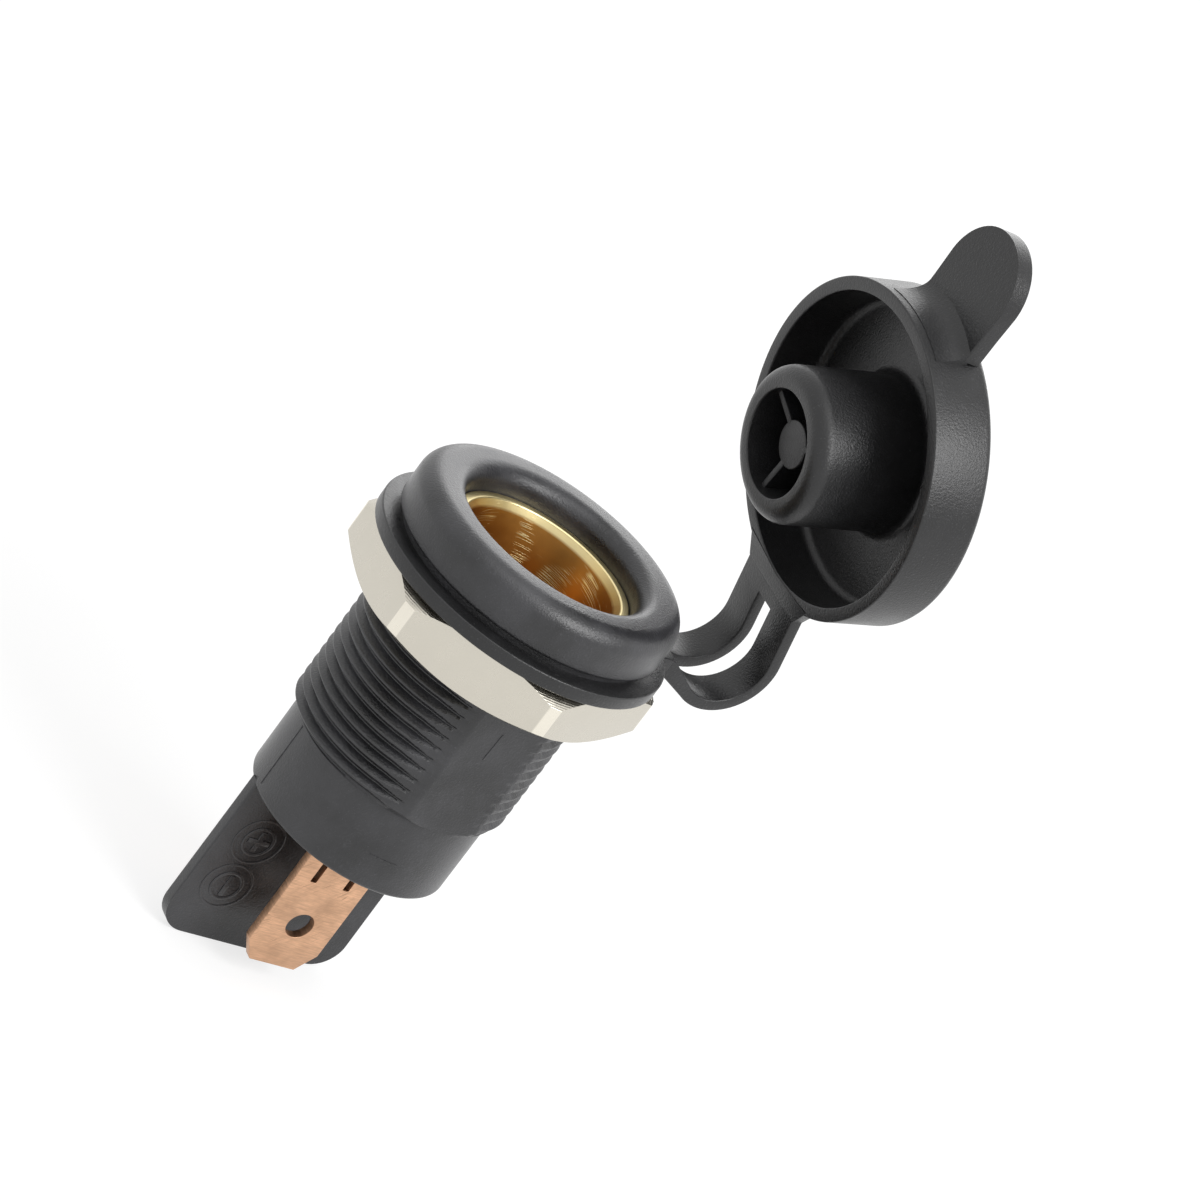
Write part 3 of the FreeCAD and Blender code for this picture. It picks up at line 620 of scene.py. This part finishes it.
class SOCKET_OT_stage(bpy.types.Operator):
    """Paper floor, soft studio light and the camera of the photograph"""
    bl_idname = "socket.make_stage"
    bl_label = "Stage"

    def execute(self, context):
        scene = context.scene
        scene.view_settings.view_transform = "Standard"
        camera = bpy.data.objects.new("camera", bpy.data.cameras.new("camera"))
        scene.collection.objects.link(camera)
        turned = Matrix((CAMERA_RIGHT, CAMERA_UP, CAMERA_BACK)).transposed()
        camera.matrix_world = Matrix.Translation(CAMERA_PLACE) @ turned.to_4x4()
        camera.data.lens = CAMERA_LENS
        camera.data.sensor_width = CAMERA_SENSOR
        camera.data.clip_start = 0.01
        scene.camera = camera
        self.make_floor(scene)
        self.make_world(scene)
        for name, right, up, back, distance, width, radiance in SOFTBOXES:
            lamp = bpy.data.lights.new(name, "AREA")
            lamp.shape = "SQUARE"
            lamp.size = width
            lamp.energy = radiance * math.pi * width * width
            light = bpy.data.objects.new(name, lamp)
            scene.collection.objects.link(light)
            aim = (CAMERA_RIGHT * right + CAMERA_UP * up + CAMERA_BACK * back).normalized()
            light.location = LIT_PLACE + aim * distance
            light.rotation_mode = "QUATERNION"
            light.rotation_quaternion = aim.to_track_quat("Z", "Y")
        return {"FINISHED"}

    def seen_rays(self, tree):
        """One for rays that see the stage directly, in a reflection or through glass."""
        path = add_node(tree, "ShaderNodeLightPath")
        both = add_node(tree, "ShaderNodeMath", {
            0: path.outputs["Is Camera Ray"], 1: path.outputs["Is Glossy Ray"]},
            operation="MAXIMUM")
        every = add_node(tree, "ShaderNodeMath", {
            0: both.outputs[0], 1: path.outputs["Is Transmission Ray"]}, operation="MAXIMUM")
        return every.outputs[0]

    def make_floor(self, scene):
        """Wide sheet of paper that glows white to the camera and still takes a faint shadow."""
        level = (PLATE_END - FLOOR_GAP) * MM
        corners = box_outline(-FLOOR_REACH, FLOOR_REACH, -FLOOR_REACH, FLOOR_REACH)
        mesh = bpy.data.meshes.new("floor")
        mesh.from_pydata([(x, y, level) for x, y in corners], [], [(0, 1, 2, 3)])
        floor = bpy.data.objects.new("floor", mesh)
        scene.collection.objects.link(floor)
        material = bpy.data.materials.new("white_paper")
        material.use_nodes = True
        tree = material.node_tree
        tree.nodes.clear()
        paper = add_node(tree, "ShaderNodeBsdfDiffuse", {
            "Color": opaque(scene.socket_colours.floor)})
        glow = add_node(tree, "ShaderNodeEmission", {
            "Color": (1, 1, 1, 1), "Strength": FLOOR_GLOW})
        lit = add_node(tree, "ShaderNodeAddShader", {0: paper.outputs[0], 1: glow.outputs[0]})
        shown = add_node(tree, "ShaderNodeMixShader", {
            0: self.seen_rays(tree), 1: paper.outputs[0], 2: lit.outputs[0]})
        clear = add_node(tree, "ShaderNodeBsdfTransparent")
        under = add_node(tree, "ShaderNodeNewGeometry").outputs["Backfacing"]
        faced = add_node(tree, "ShaderNodeMixShader", {
            0: under, 1: shown.outputs[0], 2: clear.outputs[0]})
        add_node(tree, "ShaderNodeOutputMaterial", {"Surface": faced.outputs[0]})
        mesh.materials.append(material)

    def make_world(self, scene):
        """White surroundings, at a plain level for the light that they give."""
        world = bpy.data.worlds.new("white_studio")
        scene.world = world
        world.use_nodes = True
        tree = world.node_tree
        tree.nodes.clear()
        ambient = add_node(tree, "ShaderNodeBackground", {
            "Color": (1, 1, 1, 1), "Strength": AMBIENT})
        white = add_node(tree, "ShaderNodeBackground", {"Color": (1, 1, 1, 1), "Strength": 1.0})
        mixed = add_node(tree, "ShaderNodeMixShader", {
            0: self.seen_rays(tree), 1: ambient.outputs[0], 2: white.outputs[0]})
        add_node(tree, "ShaderNodeOutputWorld", {"Surface": mixed.outputs[0]})


class SOCKET_OT_moulding(bpy.types.Operator):
    """Barrel with its helical thread and flats, the lower barrel, and the rounded rim"""
    bl_idname = "socket.make_moulding"
    bl_label = "Socket moulding"

    def execute(self, context):
        sizes = context.scene.socket_sizes
        bm = bmesh.new()
        foot = 0.35
        lip = 0.3
        below = [(0, LOWER_END), (LOWER_RADIUS - foot, LOWER_END)]
        below += arc((LOWER_RADIUS - foot, LOWER_END + foot), foot, -90, 0, 5)
        below += [(LOWER_RADIUS, THREAD_LOW)]
        above = [(NECK_RADIUS, THREAD_HIGH), (NECK_RADIUS, NECK_TOP), (RIM_RADIUS - lip, NECK_TOP)]
        above += arc((RIM_RADIUS - lip, NECK_TOP + lip), lip, -90, 0, 5)
        above += arc((RIM_RADIUS - RIM_ROUND, RIM_TOP - RIM_ROUND), RIM_ROUND, 0, 90, 16)
        above += arc((MOUTH_RADIUS + MOUTH_ROUND, RIM_TOP - MOUTH_ROUND), MOUTH_ROUND, 90, 180, 12)
        above += [(MOUTH_RADIUS, LIP_SEAT), (CAVITY_RADIUS, LIP_SEAT), (CAVITY_RADIUS, SLEEVE_END),
                  (WELL_RADIUS, SLEEVE_END), (WELL_RADIUS, WELL_END), (0, WELL_END)]
        rows = [fixed_row(point) for point in below]
        rows += thread_rows(sizes.pitch / MM, sizes.depth / MM)
        rows += [fixed_row(point) for point in above]
        turn_rows(bm, rows, BARREL_COLUMNS)
        piece = to_object(bm, "socket_moulding", "moulded_nylon", 40.0)
        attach(piece, "socket")
        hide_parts("socket_body")
        self.make_witness_lines()
        return {"FINISHED"}

    def make_witness_lines(self):
        """Thin lines that the mould's joints leave on the flat and on the lower barrel."""
        bm = bmesh.new()
        width = 0.14
        height = 0.05
        ridge(bm, (-0.5, -FLAT_HALF, -6.4), (-0.62, -FLAT_HALF, -8.85), width, height, (0, -1, 0))
        steps = 4
        for first, last, low, high in WITNESS_LINES:
            marks = []
            for i in range(steps + 1):
                angle = math.radians(first + (last - first) * i / steps)
                level = low + (high - low) * i / steps
                x, y = LOWER_RADIUS * math.cos(angle), LOWER_RADIUS * math.sin(angle)
                marks.append(Vector((x, y, level)))
            for start, end in zip(marks, marks[1:]):
                facing = (start + end) * 0.5
                facing.z = 0
                ridge(bm, start, end, width, height, facing)
        piece = to_object(bm, "witness_lines", "moulded_nylon")
        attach(piece, "socket")


class SOCKET_OT_divider(bpy.types.Operator):
    """Divider plate between the terminals, with its two polarity marks"""
    bl_idname = "socket.make_divider"
    bl_label = "Terminal divider"

    def execute(self, context):
        sizes = context.scene.socket_sizes
        sunk = 0.4
        corner = PLATE_HALF - PLATE_CORNER
        low = PLATE_END + PLATE_CORNER
        outline = [(PLATE_HALF, LOWER_END + sunk), (-PLATE_HALF, LOWER_END + sunk)]
        outline += arc((-corner, low), PLATE_CORNER, 180, 270, 10)
        outline += arc((corner, low), PLATE_CORNER, 270, 360, 10)
        bm = bmesh.new()
        slab(bm, outline, PLATE_FRONT, PLATE_BACK, sizes.edge_round / MM * 1.5, ON_EDGE)
        piece = to_object(bm, "divider_plate", "moulded_nylon")
        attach(piece, "socket")
        self.make_marks(sizes.mark_height / MM)
        return {"FINISHED"}

    def make_marks(self, height):
        """Raised minus and plus signs, each in a dish's rim inside a thin ring."""
        bar = box_outline(-MARK_BAR, MARK_BAR, -MARK_HALF, MARK_HALF)
        upright = Matrix.Rotation(math.pi / 2, 4, "X")
        bm = bmesh.new()
        for level, turns in ((MINUS_LEVEL, (90,)), (PLUS_LEVEL, (0, 90))):
            seat = Matrix.Translation((MARK_ACROSS, PLATE_FRONT, level)) @ upright
            for outer, width, share in MARK_RINGS:
                inner = outer - width
                top = height * share
                side = top * 0.6
                profile = ((inner, -height), (inner, side), (outer - width * 0.7, top),
                           (outer - width * 0.3, top), (outer, side), (outer, -height),
                           (inner, -height))
                turn_profile(bm, profile, MARK_COLUMNS, seat)
            for turn in turns:
                # The plus sign's second bar is a little lower, so that no faces lie on each other.
                top = height - turn * 1e-4
                spun = seat @ Matrix.Rotation(math.radians(turn), 4, "Z")
                slab(bm, bar, -height, top, height / 2, spun, 2)
        piece = to_object(bm, "polarity_marks", "moulded_nylon")
        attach(piece, "socket")


class SOCKET_OT_sleeve(bpy.types.Operator):
    """Drawn brass sleeve with its bright rolled lip"""
    bl_idname = "socket.make_sleeve"
    bl_label = "Contact sleeve"

    def execute(self, context):
        roll = 0.16
        lip = SLEEVE_RADIUS + (MOUTH_RADIUS - CAVITY_RADIUS)
        profile = [(BORE_RADIUS, SLEEVE_END), (BORE_RADIUS, FLARE_LOW)]
        profile += arc((FLARE_RADIUS + roll, LIP_TOP - roll), roll, 180, 90, 8)
        profile += arc((lip - roll, LIP_TOP - roll), roll, 90, 0, 6)
        profile += [(lip, LIP_SEAT), (SLEEVE_RADIUS, LIP_SEAT), (SLEEVE_RADIUS, SLEEVE_END),
                    (BORE_RADIUS, SLEEVE_END)]
        bm = bmesh.new()
        turn_profile(bm, profile)
        piece = to_object(bm, "brass_sleeve", "drawn_brass", 50.0)
        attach(piece, "socket")
        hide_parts("contact_sleeve")
        return {"FINISHED"}


class SOCKET_OT_terminals(bpy.types.Operator):
    """Copper blades and the stud in the bottom of the socket"""
    bl_idname = "socket.make_terminals"
    bl_label = "Terminals"

    def execute(self, context):
        rounding = context.scene.socket_sizes.edge_round * 0.5
        for node, name, material, slot in (
                ("centre_terminal", "centre_blade", "punched_copper", "copper"),
                ("sleeve_terminal", "sleeve_blade", "punched_copper", "copper"),
                ("centre_contact", "centre_stud", "drawn_brass", "brass")):
            rounded_copy(node, name, rounding, material, "socket")
        return {"FINISHED"}


class SOCKET_OT_nut(bpy.types.Operator):
    """Nickel-plated hexagon nut"""
    bl_idname = "socket.make_nut"
    bl_label = "Panel nut"

    def execute(self, context):
        rounding = context.scene.socket_sizes.edge_round * 0.5
        rounded_copy(
            "panel_nut", "hexagon_nut", rounding, "nickel_plated_steel", "nut")
        return {"FINISHED"}


class SOCKET_OT_tether(bpy.types.Operator):
    """Clamped ring and the two straps, bowed to reach the open cap"""
    bl_idname = "socket.make_tether"
    bl_label = "Tether"

    def execute(self, context):
        rounding = context.scene.socket_sizes.edge_round
        rounded_copy(
            "tether_ring", "clamped_ring", rounding, "moulded_soft_pvc", "socket")
        self.make_straps(rounding / MM)
        return {"FINISHED"}

    def strap_line(self):
        """Middle line of the strap as places, outward normals and thicknesses, with sunk ends."""
        x, z = STRAP_START
        run = Vector((math.cos(STRAP_DIP), 0, -math.sin(STRAP_DIP)))
        start = Vector((x, 0, z))
        bow_start = start + run * STRAP_RUN
        inward = Vector((math.sin(STRAP_DIP), 0, math.cos(STRAP_DIP)))
        centre = bow_start + inward * STRAP_RADIUS
        sunk = Vector((x - STRAP_SUNK, 0, THREAD_HIGH / 2))
        stations = [(sunk, Vector((0, 0, -1)), ROOT_THICKNESS * 0.7)]
        for length in RUN_STOPS:
            taper = ROOT_THICKNESS + (STRAP_THICKNESS - ROOT_THICKNESS) * length / STRAP_RUN
            stations.append((start + run * length, -inward, taper))
        steps = 28
        first = -math.pi / 2 - STRAP_DIP
        for i in range(steps + 1):
            angle = first + (STRAP_LEAN - first) * i / steps
            outward = Vector((math.cos(angle), 0, math.sin(angle)))
            stations.append((centre + outward * STRAP_RADIUS, outward, STRAP_THICKNESS))
        rise = Vector((-math.sin(STRAP_LEAN), 0, math.cos(STRAP_LEAN)))
        outward = Vector((math.cos(STRAP_LEAN), 0, math.sin(STRAP_LEAN)))
        bow_end = centre + outward * STRAP_RADIUS
        for length in RISE_STOPS:
            stations.append((bow_end + rise * length, outward, STRAP_THICKNESS))
        return stations

    def make_straps(self, rounding):
        """Bowed band with a slot along it, open from the root to the web at the cap."""
        stations = self.strap_line()
        across = (-STRAP_HALF, -SLOT_HALF, SLOT_HALF, STRAP_HALF)
        sunk_count = 2
        sunk_share = 0.985
        slot_first = 3
        slot_last = len(stations) - 3
        bm = bmesh.new()
        sides = []
        for half in (-0.5, 0.5):
            sides.append([])
            for number, (place, outward, thickness) in enumerate(stations):
                # The sunk start is narrower than the ring's lug: no faces lie on each other.
                share = sunk_share if number < sunk_count else 1.0
                middle = place + outward * half * thickness
                sides[-1].append([bm.verts.new(middle + Vector((0, y * share, 0))) for y in across])
        inner, outer = sides
        solid = {}
        for i in range(len(stations) - 1):
            for k in range(3):
                solid[i, k] = k != 1 or i < slot_first or i >= slot_last
        for (i, k), filled in solid.items():
            if not filled:
                continue
            corners = ((i, k), (i + 1, k), (i + 1, k + 1), (i, k + 1))
            bm.faces.new([inner[a][b] for a, b in corners])
            bm.faces.new([outer[a][b] for a, b in reversed(corners)])
            beside = ((i, k - 1), (i + 1, k), (i, k + 1), (i - 1, k))
            for number, neighbour in enumerate(beside):
                if solid.get(neighbour):
                    continue
                first, last = corners[number], corners[(number + 1) % 4]
                bm.faces.new((inner[last[0]][last[1]], inner[first[0]][first[1]],
                              outer[first[0]][first[1]], outer[last[0]][last[1]]))
        bmesh.ops.recalc_face_normals(bm, faces=bm.faces)
        round_edges(bm, sharp_edges(bm, 40), rounding)
        piece = to_object(bm, "bent_straps", "moulded_soft_pvc", 40.0)
        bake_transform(piece)
        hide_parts("tether_straps")


class SOCKET_OT_cap(bpy.types.Operator):
    """Sealing cap with its skirt, hollow ribbed plug and pull tab"""
    bl_idname = "socket.make_cap"
    bl_label = "Sealing cap"

    def execute(self, context):
        rounding = context.scene.socket_sizes.edge_round / MM
        swung = Matrix.Translation(CAP_PLACE) @ Matrix.Rotation(CAP_OPEN, 4, "Y")
        edge = 0.6
        rim = 0.12
        root = 0.7
        nose = 0.1
        profile = [(0, CAP_TOP)]
        profile += arc((CAP_RADIUS - edge, CAP_TOP - edge), edge, 90, 0, 8)
        profile += arc((CAP_RADIUS - rim, CAP_SEAT + rim), rim, 0, -90, 5)
        profile += arc((SKIRT_RADIUS + rim, CAP_SEAT + rim), rim, -90, -180, 5)
        profile += arc((SKIRT_RADIUS - root, CAP_CEILING - root), root, 0, 90, 6)
        profile += arc((PLUG_RADIUS + root, CAP_CEILING - root), root, 90, 180, 6)
        profile += arc((PLUG_RADIUS - PLUG_ROUND, PLUG_TIP + PLUG_ROUND), PLUG_ROUND, 0, -90, 12)
        profile += arc((PLUG_HOLE + nose, PLUG_TIP + nose), nose, -90, -180, 5)
        profile += [(PLUG_HOLE, CAP_CEILING), (BOSS_RADIUS, CAP_CEILING)]
        profile += arc((BOSS_RADIUS - nose, BOSS_TIP + nose), nose, 0, -90, 5)
        profile += [(0, BOSS_TIP)]
        bm = bmesh.new()
        turn_profile(bm, profile, COLUMNS, swung)
        self.add_ribs(bm, swung, rounding)
        flush = 0.03
        # The tongue's inner edge stays inside the skirt's wall: the closed cap clears the rim.
        tongue = ((TONGUE_REACH, -STRAP_HALF), (TONGUE_REACH, STRAP_HALF),
                  (TONGUE_CORNER, TONGUE_FLARE), (TONGUE_HOLLOW, 0.0),
                  (TONGUE_CORNER, -TONGUE_FLARE))
        slab(bm, tongue, CAP_SEAT - flush, CAP_SEAT + STRAP_THICKNESS + flush, rounding, swung)
        self.add_gusset(bm, swung)
        lean = swung @ Matrix.Translation(TAB_PLACE) @ Matrix.Rotation(TAB_TILT, 4, "Y")
        lean = lean @ Matrix.Translation((0, -TAB_SHIFT, 0))
        outline = [(0, TAB_HALF)]
        outline += arc((TAB_HALF - TAB_REACH, 0), TAB_HALF, 90, 270, 32)
        outline += [(0, -TAB_HALF)]
        slab(bm, outline, -TAB_THICKNESS / 2, TAB_THICKNESS / 2, rounding * 1.4, lean)
        piece = to_object(bm, "tethered_cap", "moulded_soft_pvc", 40.0)
        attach(piece, "cap")
        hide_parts("sealing_cap")
        return {"FINISHED"}

    def add_ribs(self, bm, swung, rounding):
        """Thin ribs in the hollow plug, flush with the boss and rising towards the wall."""
        sunk = 0.4
        outline = ((BOSS_RADIUS - sunk, RIB_START), (PLUG_HOLE + sunk, RIB_TIP),
                   (PLUG_HOLE + sunk, CAP_CEILING + sunk), (BOSS_RADIUS - sunk, CAP_CEILING + sunk))
        for k in range(RIB_COUNT):
            spun = swung @ Matrix.Rotation(RIB_TURN + 2 * math.pi * k / RIB_COUNT, 4, "Z")
            slab(bm, outline, -RIB_HALF, RIB_HALF, rounding, spun @ ON_EDGE)

    def add_gusset(self, bm, swung):
        """Hollow fillet that carries the tab down the skirt to the rim."""
        steps = 10
        columns = 14
        proud = 0.05
        reach = 1.2
        inset = 0.08
        lap = 0.03
        cover = 0.3
        sunk = 0.6
        foot = CAP_SEAT + 0.7
        slope = math.tan(TAB_TILT)
        face = TAB_PLACE[2] - TAB_THICKNESS / 2 / math.cos(TAB_TILT)
        sections = []
        for j in range(columns + 1):
            y = -TAB_SHIFT + (TAB_HALF - inset) * (2 * j / columns - 1)
            skin = -math.sqrt(CAP_RADIUS ** 2 - y ** 2) - proud
            tip = skin - reach
            corner = face + (TAB_PLACE[0] - skin) * slope
            end = face + (TAB_PLACE[0] - tip) * slope + lap
            section = []
            for i in range(steps + 1):
                t = i / steps
                x = (1 - t) ** 2 * skin + 2 * t * (1 - t) * skin + t * t * tip
                z = (1 - t) ** 2 * foot + 2 * t * (1 - t) * corner + t * t * end
                section.append((x, y, z))
            section += [(tip, y, end + cover), (skin + sunk, y, corner + cover),
                        (skin + sunk, y, foot)]
            sections.append([bm.verts.new(swung @ Vector(point)) for point in section])
        count = len(sections[0])
        for left, right in zip(sections, sections[1:]):
            for i in range(count):
                k = (i + 1) % count
                bm.faces.new((left[i], left[k], right[k], right[i]))
        bm.faces.new(sections[0][::-1])
        bm.faces.new(sections[-1])


OPERATORS = (
    SOCKET_OT_stage,
    SOCKET_OT_moulding,
    SOCKET_OT_divider,
    SOCKET_OT_sleeve,
    SOCKET_OT_terminals,
    SOCKET_OT_nut,
    SOCKET_OT_tether,
    SOCKET_OT_cap,
)


class SOCKET_PT_pieces(bpy.types.Panel):
    """Sizes, colours and pieces of the panel power socket"""
    bl_idname = "SOCKET_PT_pieces"
    bl_label = "Panel power socket"
    bl_space_type = "VIEW_3D"
    bl_region_type = "UI"
    bl_category = "Socket"

    def draw(self, context):
        for group in (context.scene.socket_sizes, context.scene.socket_colours):
            box = self.layout.box()
            for name in group.__annotations__:
                box.prop(group, name)
        for operator in OPERATORS:
            self.layout.operator(operator.bl_idname)


CLASSES = (SocketSizes, SocketColours) + OPERATORS + (SOCKET_PT_pieces,)


def register():
    """Make the property groups, the operators and the panel known."""
    for item in CLASSES:
        bpy.utils.register_class(item)
    bpy.types.Scene.socket_sizes = bpy.props.PointerProperty(type=SocketSizes)
    bpy.types.Scene.socket_colours = bpy.props.PointerProperty(type=SocketColours)


def unregister():
    """Take them away again."""
    del bpy.types.Scene.socket_colours
    del bpy.types.Scene.socket_sizes
    for item in reversed(CLASSES):
        bpy.utils.unregister_class(item)


def main():
    """Make the stage and every piece."""
    register()
    bpy.ops.socket.make_stage()
    bpy.ops.socket.make_moulding()
    bpy.ops.socket.make_divider()
    bpy.ops.socket.make_sleeve()
    bpy.ops.socket.make_terminals()
    bpy.ops.socket.make_nut()
    bpy.ops.socket.make_tether()
    bpy.ops.socket.make_cap()


if __name__ == "__main__":
    main()
